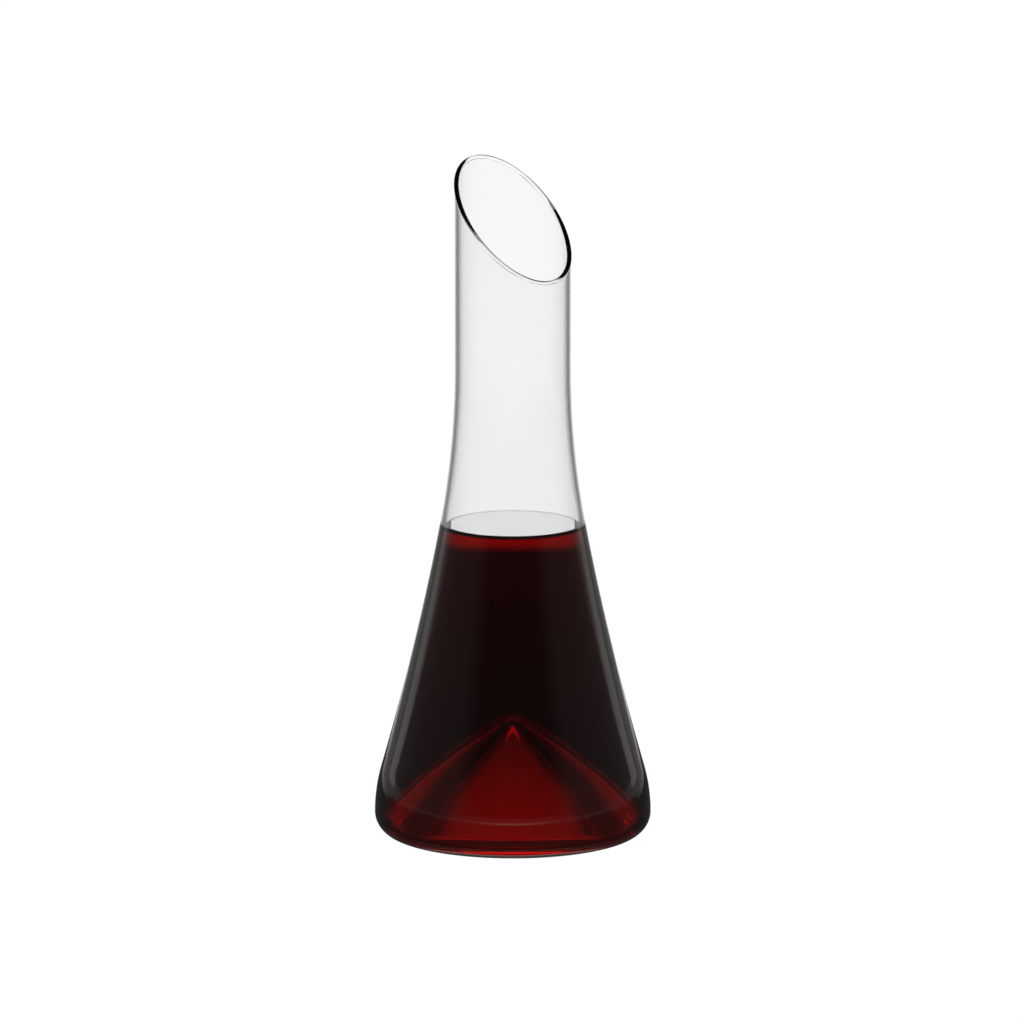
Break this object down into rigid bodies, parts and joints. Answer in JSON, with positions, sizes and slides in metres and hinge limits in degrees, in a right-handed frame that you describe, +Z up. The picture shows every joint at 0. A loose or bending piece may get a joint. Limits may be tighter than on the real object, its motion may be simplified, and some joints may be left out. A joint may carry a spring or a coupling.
{
  "type": "wine decanter",
  "caption": "Clear glass wine decanter with a slanted mouth, slim neck, flared conical body and a punt in the base, shown filled with red wine.",
  "frame": {"origin": "centre of the plane that the foot ring stands on", "axes": "+Z up along the axis that the vessel is turned about; +X towards the low side of the slanted mouth; +Y completes the right-handed frame"},
  "size_m": [0.1204, 0.1202, 0.2964],
  "materials": {
    "clear_glass": "clear, polished, fire-finished lip",
    "red_wine": "still liquid, deep red"
  },
  "bodies": {
    "root": {"glass_vessel": "clear_glass", "red_wine": "red_wine"}
  },
  "joints": []
}
